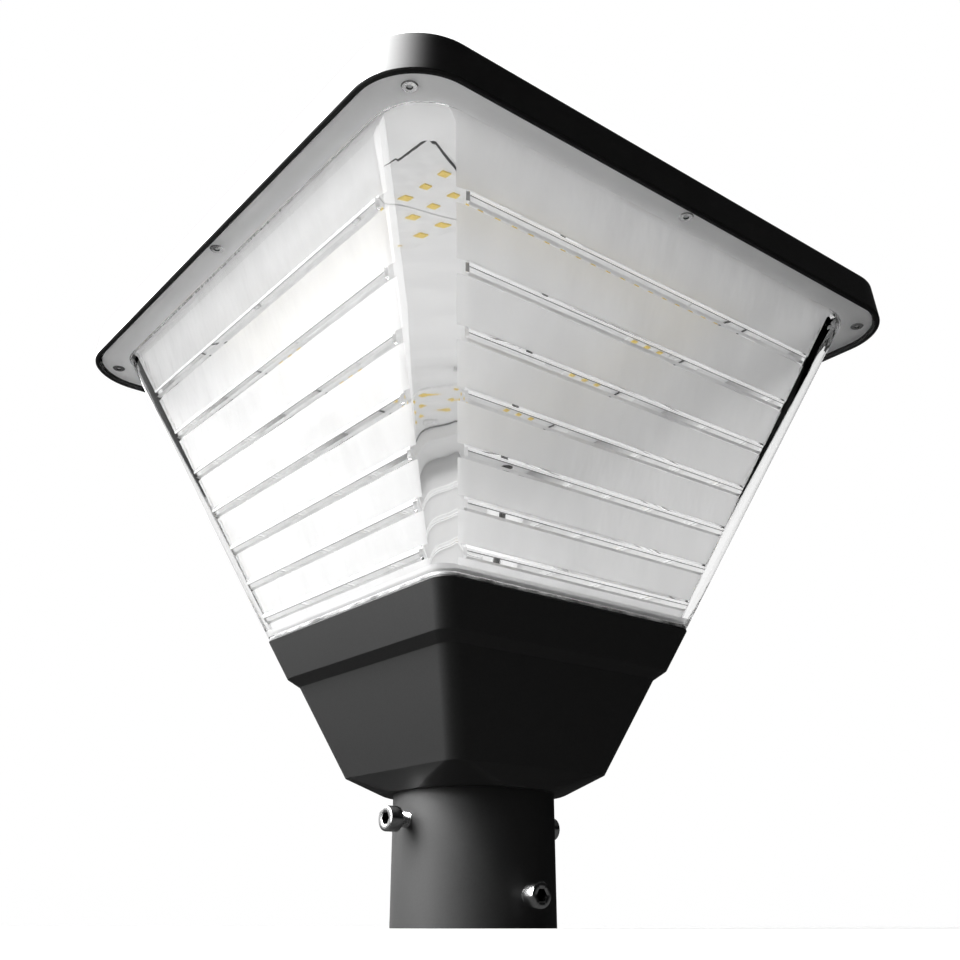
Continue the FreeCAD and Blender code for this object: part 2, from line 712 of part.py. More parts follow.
def make_light_board(name):
    body = new_body(name)
    low, inner = "0 - board_reach", "board_width - board_reach"
    end = "board_reach - board_width - board_gap"
    plate = outline(body, "plate", ((low, low), (end, low), (end, inner), (low, inner)), "XY_Plane",
                    ("0", "0", BOARD_FACE))
    pad(body, "board", plate, "board_thickness")
    drill = octagons(body, "drill", board_screw_places(), "small_screw_radius", BOARD_FACE)
    pocket(body, "holes", drill, "board_thickness")
    return body


def make_chips(name):
    body = new_body(name)
    seed = rectangle(body, "seed", ("0 - chip_reach", "0 - chip_reach"), ("chip_size", "chip_size"),
                     f"{BOARD_FACE} - chip_height")
    chip = pad(body, "chip", seed, "chip_height")
    grid = body.newObject("PartDesign::MultiTransform", f"{name}_grid")
    grid.Originals = [chip]
    rows = []
    for role, count in (("X_Axis", "chips_per_row"), ("Y_Axis", "chip_rows")):
        row = body.newObject("PartDesign::LinearPattern", f"{name}_{role[0].lower()}_row")
        row.Direction = (origin_feature(body, role), [""])
        row.setExpression("Length", dims(f"chip_pitch * ( {count} - 1 )"))
        row.setExpression("Occurrences", dims(count))
        rows.append(row)
    grid.Transformations = rows
    body.Tip = grid
    return body


def make_cover_plate():
    """White plate that clamps the foot of the lens down on the base."""
    body = new_body("cover_plate")
    pad(body, "plate", rounded_square(body, "edge", "cover_half", "cover_corner", LENS_FLOOR_TOP),
        "cover_thickness")
    places = (("cover_screw_offset", "0"),)
    drill = octagons(body, "drill", places, "cover_screw_radius", LENS_FLOOR_TOP)
    four_times(body, "holes", [pocket(body, "hole", drill, "cover_thickness")])
    lead = octagons(body, "lead_drill", (("cover_lead_offset", "cover_lead_offset"),), "cover_lead_radius",
                    LENS_FLOOR_TOP)
    pocket(body, "lead_hole", lead, "cover_thickness")
    shape = driven("cover_head_radius", "cover_head_height", "cover_screw_radius", "cover_screw_length", COVER_TOP)
    screw_group("cover_screws", places, *shape)
    return body


def make_wire_grommet():
    """Rubber bush for the supply wires, through the floor of the base and the web of the sleeve."""
    body = new_body("wire_grommet")
    foot = f"{FLOOR_TOP} - base_floor - sleeve_web"
    section = outline(body, "section", (
        ("wire_bore_radius", foot),
        ("wire_hole_radius", foot),
        ("wire_hole_radius", FLOOR_TOP),
        ("wire_hole_radius + collar_width", FLOOR_TOP),
        ("wire_bore_radius", f"{FLOOR_TOP} + collar_height"),
    ))
    revolve(body, "bush", section)
    return body


def make_lead_grommet(name, offset, hole_radius, seat, plate):
    """Rubber bush whose collar rests on a plate and whose neck fills the lead's hole."""
    body = new_body(name)
    places = ((offset, offset),)
    foot = f"( {seat} - {plate} )"
    pad(body, "neck", octagons(body, "neck_outline", places, hole_radius, foot), plate)
    collar = octagons(body, "collar_outline", places, f"( {hole_radius} + collar_width )", seat)
    pad(body, "collar", collar, "collar_height")
    bore = octagons(body, "bore_outline", places, "( lead_radius + lead_play )", foot)
    pocket(body, "bore", bore, f"{plate} + collar_height")
    return body


def make_grommets():
    make_wire_grommet()
    make_lead_grommet("cover_grommet", "cover_lead_offset", "cover_lead_radius", COVER_TOP, "cover_thickness")
    make_lead_grommet("pan_grommet", "lead_hole_offset", "lead_hole_radius", PAN_RIM_TOP, "pan_thickness")


def make_top_cap():
    """Cast cap: drafted rim, low hipped crown, and bosses for the screws inside."""
    body = new_body("top_cap")
    crown = "( cap_edge_height + cap_crown_rise )"
    draft = "atan( ( cap_edge_half - cap_rim_half ) / ( cap_edge_height - cap_rim_height ) )"
    rim = rounded_square(body, "rim", "cap_rim_half", "cap_rim_corner", "cap_rim_height")
    pad(body, "block", rim, f"{crown} - cap_rim_height", TaperAngle_formula=draft)
    for number, plane in enumerate(("XZ_Plane", "YZ_Plane")):
        above = outline(body, f"above_roof{number}", (
            ("0 - cap_rim_half", "cap_edge_height"),
            ("0 - cap_crown_half", crown),
            ("cap_crown_half", crown),
            ("cap_rim_half", "cap_edge_height"),
            ("cap_rim_half", f"{crown} + cap_wall"),
            ("0 - cap_rim_half", f"{crown} + cap_wall"),
        ), plane)
        feature(body, "Pocket", f"slopes{number}", Profile=above, Length_formula="2.2 * cap_rim_half", Midplane=True)
    inner = rounded_square(body, "inner_rim", "cap_rim_half - cap_wall", "cap_rim_corner - cap_wall", "cap_rim_height")
    ceiling = "( cap_edge_height - cap_wall )"
    pocket(body, "hollow", inner, f"{ceiling} - cap_rim_height", TaperAngle_formula=draft)
    middle = square(body, "ceiling_edge", "cap_ceiling_half", ceiling)
    pocket(body, "under_crown", middle, "cap_crown_rise",
           TaperAngle_formula="atan( ( cap_crown_half - cap_ceiling_half ) / cap_crown_rise )")
    boss_top = "cap_edge_height - cap_wall / 2"
    for number, place in enumerate(screw_places()):
        boss = octagons(body, f"boss{number}", (place,), "cap_boss_radius", PAN_RIM_TOP)
        made = pad(body, f"boss_pad{number}", boss, f"{boss_top} - {PAN_RIM_TOP}")
        four_times(body, f"bosses{number}", [made])
        drill = octagons(body, f"drill{number}", (place,), "lens_screw_radius", PAN_RIM_TOP)
        hole = pocket(body, f"hole{number}", drill, f"lens_top_height + lens_screw_length - {PAN_RIM_TOP}")
        four_times(body, f"holes{number}", [hole])
    foot = f"( {DECK} + pan_thickness )"
    places = (("pan_screw_offset", "0"),)
    post = octagons(body, "post", places, "cap_boss_radius", foot)
    lift = "cap_crown_rise * ( cap_rim_half - pan_screw_offset ) / ( cap_rim_half - cap_crown_half )"
    posts = pad(body, "post_pad", post, f"{boss_top} + {lift} - {foot}")
    four_times(body, "posts", [posts])
    drill = octagons(body, "post_drill", places, "cover_screw_radius", foot)
    hole = pocket(body, "post_hole", drill, "pan_screw_length - pan_thickness")
    four_times(body, "post_holes", [hole])
    return body


def make_driver_bracket():
    """Folded plate on the standoffs, with a lip along each long side."""
    body = new_body("driver_bracket")
    plate = rectangle(body, "plate", ("0", "0"), ("bracket_length", "bracket_width"), BRACKET_FOOT)
    pad(body, "deck", plate, "bracket_thickness")
    for number, side in enumerate((-1, 1)):
        centre = ("0", f"{side} * ( bracket_width - bracket_thickness ) / 2")
        lip = rectangle(body, f"lip{number}", centre, ("bracket_length", "bracket_thickness"), DRIVER_FOOT)
        pad(body, f"lip_pad{number}", lip, "bracket_lip")
    drill = octagons(body, "drill", bracket_screw_places() + driver_screw_places(), "small_screw_radius", BRACKET_FOOT)
    pocket(body, "holes", drill, "bracket_thickness")
    return body


def driver_screw_places():
    return [(f"{side} * ( driver_length + driver_tab ) / 2", "0") for side in (-1, 1)]


def make_driver():
    """Sealed control gear with a fixing tab at each end."""
    body = new_body("light_driver")
    size = ("driver_length", "driver_width")
    pad(body, "case", rectangle(body, "plan", ("0", "0"), size, DRIVER_FOOT), "driver_height")

    def upright(edge):
        box = edge.BoundBox
        return box.ZLength > value_of("driver_height") / 2
    round_edges(body, "corners", upright, "driver_round")
    top = f"{DRIVER_FOOT} + driver_height"
    round_edges(body, "top_edge", level_edges(top), "1", "Chamfer", "Size")
    tabs = rectangle(body, "tab_plan", ("0", "0"), ("driver_length + 2 * driver_tab", "driver_width / 3"),
                     DRIVER_FOOT)
    pad(body, "tabs", tabs, "driver_tab_thickness")
    ends = driver_screw_places()
    drill = octagons(body, "tab_drill", ends, "small_screw_radius", DRIVER_FOOT)
    pocket(body, "tab_holes", drill, "driver_tab_thickness")
    seat = f"{DRIVER_FOOT} + driver_tab_thickness"
    shape = driven("small_head_radius", "small_head_height", "small_screw_radius", "small_screw_length", seat)
    screw_group("driver_screws", ends, *shape, pattern=False)
    return body


def make_bracket_screws():
    shape = driven("small_head_radius", "small_head_height", "small_screw_radius", "bracket_hole_depth", DRIVER_FOOT)
    return screw_group("bracket_screws", bracket_screw_places(), *shape, pattern=False)


def make_surge_protector():
    body = new_body("surge_protector")
    foot = f"{LENS_FLOOR_TOP} - surge_height"
    pad(body, "case", rectangle(body, "plan", ("6", "26"), ("surge_length", "surge_width"), foot), "surge_height")
    round_edges(body, "edge", level_edges(foot), "2")
    return body


def make_terminal_block():
    """Terminal block with a row of clamping chambers open to the side."""
    body = new_body("terminal_block")
    foot = f"{LENS_FLOOR_TOP} - terminal_height"
    size = ("terminal_length", "terminal_width")
    pad(body, "case", rectangle(body, "plan", ("-16", "-28"), size, foot), "terminal_height")
    pitch = "terminal_length / terminal_poles"
    for index in (-1, 0, 1):
        centre = (f"-16 + {index} * {pitch}", "-28 - terminal_width / 2")
        chamber = rectangle(body, f"chamber{index + 1}", centre, (f"{pitch} * 0.6", "12"), f"{foot} + 4")
        pocket(body, f"chamber_cut{index + 1}", chamber, "7")
    return body


def make_board_connector():
    """Push-in connector on the pan, where the lead to the boards ends."""
    body = new_body("board_connector")
    size = ("connector_length", "connector_width")
    plan = rectangle(body, "plan", ("96", "101"), size, f"{DECK} + pan_thickness")
    pad(body, "case", plan, "connector_height")
    round_edges(body, "edge", level_edges(f"{DECK} + pan_thickness + connector_height"), "0.8", "Chamfer", "Size")
    return body


def make_earth_screw():
    shape = driven("cover_head_radius", "cover_head_height", "cover_screw_radius", "earth_screw_length", FLOOR_TOP)
    return screw_group("earth_screw", EARTH_PLACE, *shape, pattern=False)


def make_sleeve_bolts():
    shape = driven("bolt_head_radius", "bolt_head_height", "bolt_radius", "bolt_length", FLOOR_TOP)
    return screw_group("sleeve_bolts", (("bolt_offset", "bolt_offset"),), *shape)


def smooth_path(points):
    """Straight runs joined by tangent arcs as large as the runs allow, and the smallest arc radius."""
    nodes = [Vector(*point) for point in points]
    edges, radii = [], []
    start = nodes[0]
    for before, corner, after in zip(nodes, nodes[1:], nodes[2:]):
        inward, outward = (corner - before), (after - corner)
        turn = inward.getAngle(outward)
        shorter = min(inward.Length, outward.Length)
        reach = ARC_SHARE * shorter
        radii.append(reach / math.tan(turn / 2))
        entry = corner - inward.normalize() * reach
        leave = corner + outward.normalize() * reach
        centre_side = ((entry + leave) * 0.5 - corner).normalize()
        depth = radii[-1] * (1 / math.cos(turn / 2) - 1)
        edges.append(Part.LineSegment(start, entry).toShape())
        edges.append(Part.Arc(entry, corner + centre_side * depth, leave).toShape())
        start = leave
    edges.append(Part.LineSegment(start, nodes[-1]).toShape())
    return Part.Wire(edges), min(radii)


def make_lead(name, route, radius):
    """A lead swept along its route with an eight-sided section of the given size."""
    path, tightest = smooth_path(route)
    first = path.Edges[0]
    ahead = first.tangentAt(0)
    beside = ahead.cross(Vector(0, 0, 1)).normalize()
    above = beside.cross(ahead)
    reach = value_of(radius)
    turns = [math.radians(45 * step) for step in range(9)]
    rim = [first.Vertexes[0].Point + (beside * math.cos(turn) + above * math.sin(turn)) * reach for turn in turns]
    tube = path.makePipeShell([Part.makePolygon(rim)], True, False)
    expected = 2 * math.sqrt(2) * reach ** 2 * path.Length
    if abs(tube.Volume / expected - 1) > 0.01:
        raise RuntimeError(f"{name} has the wrong volume")
    lead = doc.addObject("Part::Feature", name)
    lead.Label = name
    lead.Shape = tube
    lead.Placement = Placement()
    print(f"{name}: length {path.Length:.0f} mm, tightest bend {tightest:.0f} mm")


def make_leads():
    make_lead("board_lead", BOARD_LEAD_ROUTE, "lead_radius")
    make_lead("input_lead", INPUT_LEAD_ROUTE, "input_lead_radius")


def sub_parts():
    """The objects that are written out: every body, and every lead."""
    return [item for item in doc.Objects
            if item.isDerivedFrom("PartDesign::Body") or item.TypeId == "Part::Feature"]


def check_model():
    """Stop at any failed object, and at any sub-part with no sound shape."""
    for item in doc.Objects:
        if {"Invalid", "Error"} & set(item.State):
            raise RuntimeError(f"{item.Name} failed: {item.State}")
    for item in sub_parts():
        if item.Shape.isNull() or not item.Shape.isValid() or not item.Shape.Solids:
            raise RuntimeError(f"{item.Label} has no sound solid")


def write_parts():
    os.makedirs("parts", exist_ok=True)
    for item in sub_parts():
        item.Shape.exportStep(f"parts/{item.Label}.step")
    print(f"{len(sub_parts())} parts written")


def main():
    fill_sheet()
    make_post_sleeve()
    make_pole_screws()
    make_base_housing()
    make_seals()
    make_lens()
    make_lens_screws()
    make_reflector_pan()
    make_pan_screws()
    make_light_boards()
    make_cover_plate()
    make_grommets()
    make_top_cap()
    make_driver_bracket()
    make_driver()
    make_bracket_screws()
    make_surge_protector()
    make_terminal_block()
    make_board_connector()
    make_earth_screw()
    make_sleeve_bolts()
    make_leads()
    doc.recompute()
    check_model()
    write_parts()


main()
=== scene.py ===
import json
from math import atan, cos, pi, radians, sin, tan

import bmesh
import bpy
from mathutils import Matrix, Vector


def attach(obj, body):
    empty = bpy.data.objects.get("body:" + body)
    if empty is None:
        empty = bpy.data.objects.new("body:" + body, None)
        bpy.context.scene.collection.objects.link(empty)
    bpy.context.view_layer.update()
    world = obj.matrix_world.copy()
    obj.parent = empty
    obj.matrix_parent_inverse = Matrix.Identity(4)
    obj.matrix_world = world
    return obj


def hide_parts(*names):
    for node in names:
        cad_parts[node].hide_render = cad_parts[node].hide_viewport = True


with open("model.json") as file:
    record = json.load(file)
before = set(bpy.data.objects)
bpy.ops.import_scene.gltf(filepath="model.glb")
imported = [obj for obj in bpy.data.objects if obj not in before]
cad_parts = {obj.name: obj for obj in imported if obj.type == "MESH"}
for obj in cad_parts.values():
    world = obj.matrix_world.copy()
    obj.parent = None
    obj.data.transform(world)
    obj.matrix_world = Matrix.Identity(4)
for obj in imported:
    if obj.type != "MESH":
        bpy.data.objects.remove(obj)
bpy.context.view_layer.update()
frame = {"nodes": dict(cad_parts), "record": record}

MM = 0.001
scene = bpy.context.scene

# ---------------------------------------------------------------- sizes, in millimetres

ARC_STEPS = 12  # segments on one quarter of a rounded square

# The photograph's viewpoint: azimuth and pitch in degrees, the rest in millimetres and pixels.
CAMERA_AZIMUTH = -38.36
CAMERA_PITCH = 22.15
CAMERA_DISTANCE = 628.47
CAMERA_SIDE = 3.57
CAMERA_HEIGHT = 1.3
FOCAL_PIXELS = 1095.19
FRAME_PIXELS = 960.0
SENSOR_WIDTH = 36.0

# Lens
LENS_FOOT_Z = 160.0
LENS_FOOT_HALF = 90.0
LENS_FOOT_CORNER = 9.5
LENS_TOP_Z = 350.0
LENS_TOP_HALF = 172.0
LENS_TOP_CORNER = 29.0
LENS_WALL = 3.2
LENS_SLOPE = atan((LENS_TOP_HALF - LENS_FOOT_HALF) / (LENS_TOP_Z - LENS_FOOT_Z))
LENS_WALL_RISE = LENS_WALL * sin(LENS_SLOPE)  # from a place outside to the place right behind it
LENS_FLOOR = 3.0
LENS_MOUTH_HALF = 64.0
LENS_MOUTH_CORNER = 4.0
FOOT_BAND = 3.4  # height of the matt band on the foot
INNER_CORNER_GROWTH = 1.18  # the corners are thicker than the walls, and magnify what is behind them
FROSTED_ARC_STEPS = 2  # the frosting reaches this far into each inner corner
FROSTED_COLLAR = 2.0  # depth of the inner wall's straight collar under the flange
FLANGE_THICKNESS = 3.0
FLANGE_HALF = 187.0
FLANGE_CORNER = 33.0
FLANGE_EDGE = 0.5
SHOULDER_DROP = 1.0  # the small step where the wall meets the flange
SHOULDER_REACH = 0.6
RIB_FIRST_Z = 317.8
RIB_PITCH = 28.8
RIB_PITCH_LOSS = 1.65
RIB_COUNT = 7
RIB_WIDTH = 6.6
RIB_PROUD = 1.5
RIB_SIDE = 1.3
RIB_PAINTED_SHADE = 0.5  # width of the painted shade, a dark line on a rib
RIB_PAINTED_HIGHLIGHT = 1.1  # width of the painted highlight, a bright line above it
RIB_END_INSET = 3.5
RIB_DARK_ENDS_Z = 280.0  # the ribs above this height end in a dark edge of painted shade
RIB_MIDDLE_INSET = 30.0  # where the faces of a wall are split once more

# Cap
CAP_RIM_Z = 347.5
CAP_RIM_HALF = 191.0
CAP_RIM_CORNER = 36.5
CAP_EDGE_Z = 372.0
CAP_EDGE_HALF = 188.6
CAP_EDGE_CORNER = 34.2
CAP_CROWN_Z = 384.0
CAP_CROWN_HALF = 40.0
CAP_CROWN_CORNER = 12.0
CAP_WALL = 3.0
CAP_APEX_HALF = 30.0
CAP_APEX_CORNER = 9.0
CAP_SKIRT_SUPPORT = (0.45, 4.5)  # keeps the shading of the flat skirt off its rounded edges
CAP_UNDERSIDE_TILT = -0.45  # faces that look down more than this are matt, and painted darker as painted shade

# Base, from the foot up the outside and down the inside: half width, height, corner radius, edge rounding
BASE_PROFILE = (
    (11.0, 68.0, 10.9, 0),
    (47.0, 68.0, 38.0, 0.8),
    (54.0, 78.0, 8.8, 1.2),
    (75.0, 130.0, 9.0, 1.0),
    (80.5, 135.0, 9.1, 1.0),
    (90.0, 158.5, 9.2, 0.8),
    (80.0, 158.5, 6.0, 0.5),
    (71.0, 132.0, 6.0, 0),
    (50.4, 80.0, 6.0, 0),
    (44.0, 74.0, 20.0, 0),
    (11.0, 74.0, 10.9, 0),
)

# Pole screws
SCREW_HEAD = 6.5
SCREW_HEAD_HEIGHT = 7.5
SCREW_SHANK = 4.0
SCREW_TIP = 17.0
SCREW_PITCH = 1.25
SCREW_THREAD = 0.55
SCREW_KEY = 6.0
SCREW_KEY_DEPTH = 4.0
UPPER_SCREW = (58.4, 53.0)  # from the axis to the face of the head, and height
LOWER_SCREW = (55.8, 15.5)
POLE_SCREWS = (
    ("left", pi, UPPER_SCREW),
    ("right", 0.0, UPPER_SCREW),
    ("front", -pi / 2, LOWER_SCREW),
    ("back", pi / 2, LOWER_SCREW),
)

# Lens screws: radius and height of each ring of a head, and places on the flange
LENS_SCREW_PROFILE = (
    (0.9, 1.5),
    (1.25, 0.0),
    (1.6, -0.7),
    (3.5, -0.6),
    (4.0, -0.2),
    (4.0, 0.3),
    (2.0, 1.6),
    (2.0, 14.0),
)
# radius of the painted shade in each head's recess
LENS_SCREW_RECESS = 1.45
LENS_SCREW_PLACES = ((171.0, 171.0), (182.0, 0.0))

# Inside the lens
BEAD_HALF = 135.6
BEAD_CORNER = 2.0
BEAD_WIDTH = 1.1
BEAD_Z = 361.75
BEAD_HEIGHT = 0.6
JUMPER_RADIUS = 0.55
JUMPER_START = (-136.2, -135.4, 362.8)
JUMPER_BEND = (-109.0, -118.0, 361.7)
JUMPER_END = (-100.0, -118.0, 361.7)

# Leads: radius and route
LEADS = {
    "board_lead": (
        2.6,
        (
            (36, -8, 103),
            (54, -8, 103),
            (50, 50, 146),
            (50, 50, 184),
            (150, 150, 344),
            (150, 150, 368),
            (122, 101, 368),
            (104, 101, 368),
        ),
    ),
    "input_lead": (2.2, ((-36, 8, 103), (-54, 8, 103), (-56, -28, 155), (-38, -28, 155))),
}
LEAD_BEND_SHARE = 0.3  # of each run, taken by the bend at its end

# Studio, in metres and watts
BANK_TOWARD = (-0.5084, 0.64288, 0.57)
BANK_FADE = (0.1, 1.0)
BANK_LEVELS = (0.03, 16.0)
HORIZON_FADE = (0.2, 0.55)
HORIZON_LEVEL = 0.04
BEHIND_GLASS_LEVEL = 0.8
AMBIENT = 0.125
FLOOR_HALF = 6.0
FLOOR_GLOW = 0.1
FLOOR_GLOW_SEEN = 0.58
FLOOR_MIRRORED = 0.08
KEY_TOWARD = (-0.66, 0.18, 0.73)
KEY_AIM = (0.0, 0.0, 0.22)
KEY_DISTANCE = 1.5
KEY_SIZE = (0.6, 0.6)
KEY_POWER = 44.0
STRIP_TOWARD = (-0.87, 0.45, 0.02)
STRIP_AIM = (-0.14, -0.14, 0.27)
STRIP_DISTANCE = 1.0
STRIP_SIZE = (0.4, 0.9)
STRIP_POWER = 5.5


# ---------------------------------------------------------------- meshes


def corner_arc(centre, radius, steps):
    """Points on a quarter of a circle round a centre, without the last."""
    angles = [pi / 2 * i / steps for i in range(steps)]
    return [(centre + radius * cos(a), centre + radius * sin(a)) for a in angles]


def ring(half, corner, splits=(), arc_steps=ARC_STEPS):
    """A rounded square seen from above. Splits are distances in from each end of its straight sides."""
    flat = half - corner
    stops = [-flat] + [s - flat for s in splits] + [flat - s for s in reversed(splits)]
    points = []
    for side in range(4):
        spin = Matrix.Rotation(side * pi / 2, 2)
        run = [(half, t) for t in stops] + corner_arc(flat, corner, arc_steps)
        points += [spin @ Vector(p) for p in run]
    return points


def stack(loops, close=False, caps=(False, False)):
    """A mesh through loops of (x, y, z) that all have the same number of points."""
    mesh = bmesh.new()
    rows = [[mesh.verts.new(Vector(p) * MM) for p in loop] for loop in loops]
    pairs = list(zip(rows, rows[1:])) + ([(rows[-1], rows[0])] if close else [])
    for low, high in pairs:
        for i in range(len(low)):
            j = (i + 1) % len(low)
            mesh.faces.new((low[i], low[j], high[j], high[i]))
    if caps[0]:
        mesh.faces.new(rows[0][::-1])
    if caps[1]:
        mesh.faces.new(rows[-1])
    return mesh


def merge(whole, mesh):
    """Add a mesh to another and free it."""
    kept = bpy.data.meshes.new("part")
    mesh.to_mesh(kept)
    mesh.free()
    whole.from_mesh(kept)
    bpy.data.meshes.remove(kept)


def piece(name, mesh, material, body="lantern", replaces=(), sharp=35.0, weighted=False):
    """Turn a bmesh into a named piece that rides on a CAD body."""
    bmesh.ops.recalc_face_normals(mesh, faces=mesh.faces)
    data = bpy.data.meshes.new(name)
    mesh.to_mesh(data)
    mesh.free()
    data.shade_smooth()
    data.set_sharp_from_angle(angle=radians(sharp))
    for one in material if isinstance(material, (list, tuple)) else [material]:
        data.materials.append(one)
    item = bpy.data.objects.new(name, data)
    scene.collection.objects.link(item)
    if weighted:
        normals = item.modifiers.new("even_faces", "WEIGHTED_NORMAL")
        normals.keep_sharp = True
        normals.weight = 100
    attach(item, body)
    if replaces:
        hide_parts(*replaces)


def softened(profile, segments):
    """Round the edges of a profile of (half width, height, corner radius, edge rounding) points."""
    out = []
    count = len(profile)
    for i, (half, z, corner, fillet) in enumerate(profile):
        if not fillet:
            out.append((half, z, corner))
            continue
        before = profile[(i - 1) % count]
        after = profile[(i + 1) % count]
        here = Vector((half, z))
        back = Vector((before[0], before[1])) - here
        fore = Vector((after[0], after[1])) - here
        angle = back.angle(fore)
        reach = min(fillet / tan(angle / 2), back.length * 0.49, fore.length * 0.49)
        radius = reach * tan(angle / 2)
        start = here + back.normalized() * reach
        end = here + fore.normalized() * reach
        centre = here + (back.normalized() + fore.normalized()).normalized() * radius / sin(angle / 2)
        for step in range(segments + 1):
            share = step / segments
            near = start.lerp(end, share)
            point = centre + (near - centre).normalized() * radius
            if share < 0.5:
                grow = corner + (before[2] - corner) * (near - here).length / back.length * (1 - 2 * share)
            else:
                grow = corner + (after[2] - corner) * (near - here).length / fore.length * (2 * share - 1)
            out.append((point.x, point.y, grow))
    return out


# ---------------------------------------------------------------- materials


def shader_material(name, **settings):
    """A node material whose Principled sockets are set by name, with _ for a space."""
    made = bpy.data.materials.new(name)
    made.use_nodes = True
    sockets = made.node_tree.nodes["Principled BSDF"].inputs
    for key, value in settings.items():
        sockets[key.replace("_", " ")].default_value = value
    return made


def feed(made, socket, value):
    """Link an output to a socket, or set the socket's value."""
    if isinstance(value, bpy.types.NodeSocket):
        made.node_tree.links.new(value, socket)
    else:
        socket.default_value = value


def add(made, kind, **inputs):
    """Add a node to a material or world and feed its inputs by name, with _ for a space."""
    node = made.node_tree.nodes.new(kind)
    for key, value in inputs.items():
        feed(made, node.inputs[key.replace("_", " ")], value)
    return node


def reckon(made, operation, *values):
    """A Math node's result."""
    node = made.node_tree.nodes.new("ShaderNodeMath")
    node.operation = operation
    for socket, value in zip(node.inputs, values):
        feed(made, socket, value)
    return node.outputs["Value"]


def blend(made, factor, first, second):
    """The first shader where the factor is 0, the second where it is 1."""
    node = made.node_tree.nodes.new("ShaderNodeMixShader")
    for socket, value in zip(node.inputs, (factor, first, second)):
        feed(made, socket, value)
    return node.outputs["Shader"]


def place(made, stretch=(1.0, 1.0, 1.0)):
    """The piece's own coordinates in metres, stretched."""
    spot = add(made, "ShaderNodeTexCoord")
    return add(made, "ShaderNodeMapping", Vector=spot.outputs["Object"], Scale=stretch).outputs["Vector"]


def mottle(made, low, high, scale, stretch=(1.0, 1.0, 1.0), socket="Base Color"):
    """Drive a socket with noise that runs between two colours."""
    noise = add(made, "ShaderNodeTexNoise", Vector=place(made, stretch), Scale=scale, Detail=3.0)
    ramp = add(made, "ShaderNodeValToRGB", Fac=noise.outputs["Fac"])
    for stop, position, colour in zip(ramp.color_ramp.elements, (0.35, 0.65), (low, high)):
        stop.position = position
        stop.color = (*colour, 1.0)
    feed(made, made.node_tree.nodes["Principled BSDF"].inputs[socket], ramp.outputs["Color"])


def relief(made, scale, distance, strength=1.0, detail=4.0, stretch=(1.0, 1.0, 1.0)):
    """Fine bumps from noise, their height in metres."""
    spot = place(made, stretch)
    noise = add(made, "ShaderNodeTexNoise", Vector=spot, Scale=scale, Detail=detail, Roughness=0.6)
    bump = add(made, "ShaderNodeBump", Height=noise.outputs["Fac"], Distance=distance, Strength=strength)
    feed(made, made.node_tree.nodes["Principled BSDF"].inputs["Normal"], bump.outputs["Normal"])


def grey(level):
    """A grey of one level."""
    return (level, level, level)


def let_lamps_through(made, share):
    """Shadow rays pass the glass, so that lamps light what is behind it."""
    nodes = made.node_tree.nodes
    path = add(made, "ShaderNodeLightPath")
    clear = add(made, "ShaderNodeBsdfTransparent", Color=(share, share, share, 1.0))
    shader = nodes["Principled BSDF"].outputs["BSDF"]
    both = blend(made, path.outputs["Is Shadow Ray"], shader, clear.outputs["BSDF"])
    feed(made, nodes["Material Output"].inputs["Surface"], both)
    return made


def coated_metal():
    """Fine powder coat on the castings."""
    made = shader_material("powder_coat", Roughness=0.55, Specular_IOR_Level=0.6)
    mottle(made, grey(0.009), grey(0.013), 900.0)
    relief(made, 2600.0, 0.00012, 0.5)
    return made


def gloss_black():
    """Smooth dark paint on the cap."""
    made = shader_material("gloss_black", Roughness=0.16, Specular_IOR_Level=0.5)
    mottle(made, grey(0.009), grey(0.012), 120.0)
    relief(made, 300.0, 0.00002, 0.15)
    return made


def clear_resin():
    """The polished resin of the corners, bars and flange edge."""
    made = shader_material("clear_resin", Transmission_Weight=1.0, IOR=1.49)
    made.node_tree.nodes["Principled BSDF"].inputs["Base Color"].default_value = (0.985, 0.985, 0.985, 1.0)
    mottle(made, grey(0.01), grey(0.04), 25.0, socket="Roughness")
    relief(made, 14.0, 0.0006, 0.25, detail=1.0, stretch=(1.0, 1.0, 0.5))
    return let_lamps_through(made, 0.96)


def frosted_resin():
    """The matt inner face of the walls, with streaks that run up and down."""
    made = shader_material("frosted_resin", Transmission_Weight=0.72, IOR=1.49, Roughness=0.42)
    mottle(made, grey(0.9), grey(0.97), 60.0, stretch=(1.0, 1.0, 0.08))
    relief(made, 90.0, 0.0016, 0.35, detail=2.0, stretch=(1.0, 1.0, 0.06))
    return let_lamps_through(made, 0.85)


def painted_shade_resin(name, level):
    """Painted shade: a darker resin for the shaded edge of a moulded bar."""
    made = shader_material(name, Transmission_Weight=0.5, IOR=1.49, Roughness=0.35)
    mottle(made, grey(level * 0.8), grey(level), 60.0)
    return let_lamps_through(made, 0.8)


def painted_highlight_resin():
    """Painted highlight: the bars' upper edges glow, though the resin is no lamp."""
    made = shader_material(
        "bar_painted_highlight", Transmission_Weight=0.5, IOR=1.49, Roughness=0.35, Emission_Strength=0.42
    )
    mottle(made, grey(0.92), grey(0.99), 40.0)
    mottle(made, grey(0.75), grey(1.0), 14.0, socket="Emission Color", stretch=(1.0, 1.0, 0.2))
    return let_lamps_through(made, 0.85)


def flange_resin():
    """The flange is moulded with a fine matt grain below."""
    made = shader_material("flange_resin", Transmission_Weight=0.4, IOR=1.49, Roughness=0.3)
    mottle(made, grey(0.93), grey(0.99), 40.0)
    relief(made, 200.0, 0.0002, 0.3, detail=2.0)
    return let_lamps_through(made, 0.85)


def plain(name, low, high, scale, roughness, metallic=0.0):
    """An opaque look, mottled between two colours, with a fine grain."""
    made = shader_material(name, Roughness=roughness, Metallic=metallic)
    mottle(made, low, high, scale)
    relief(made, 900.0, 0.00004, 0.4)
    return made


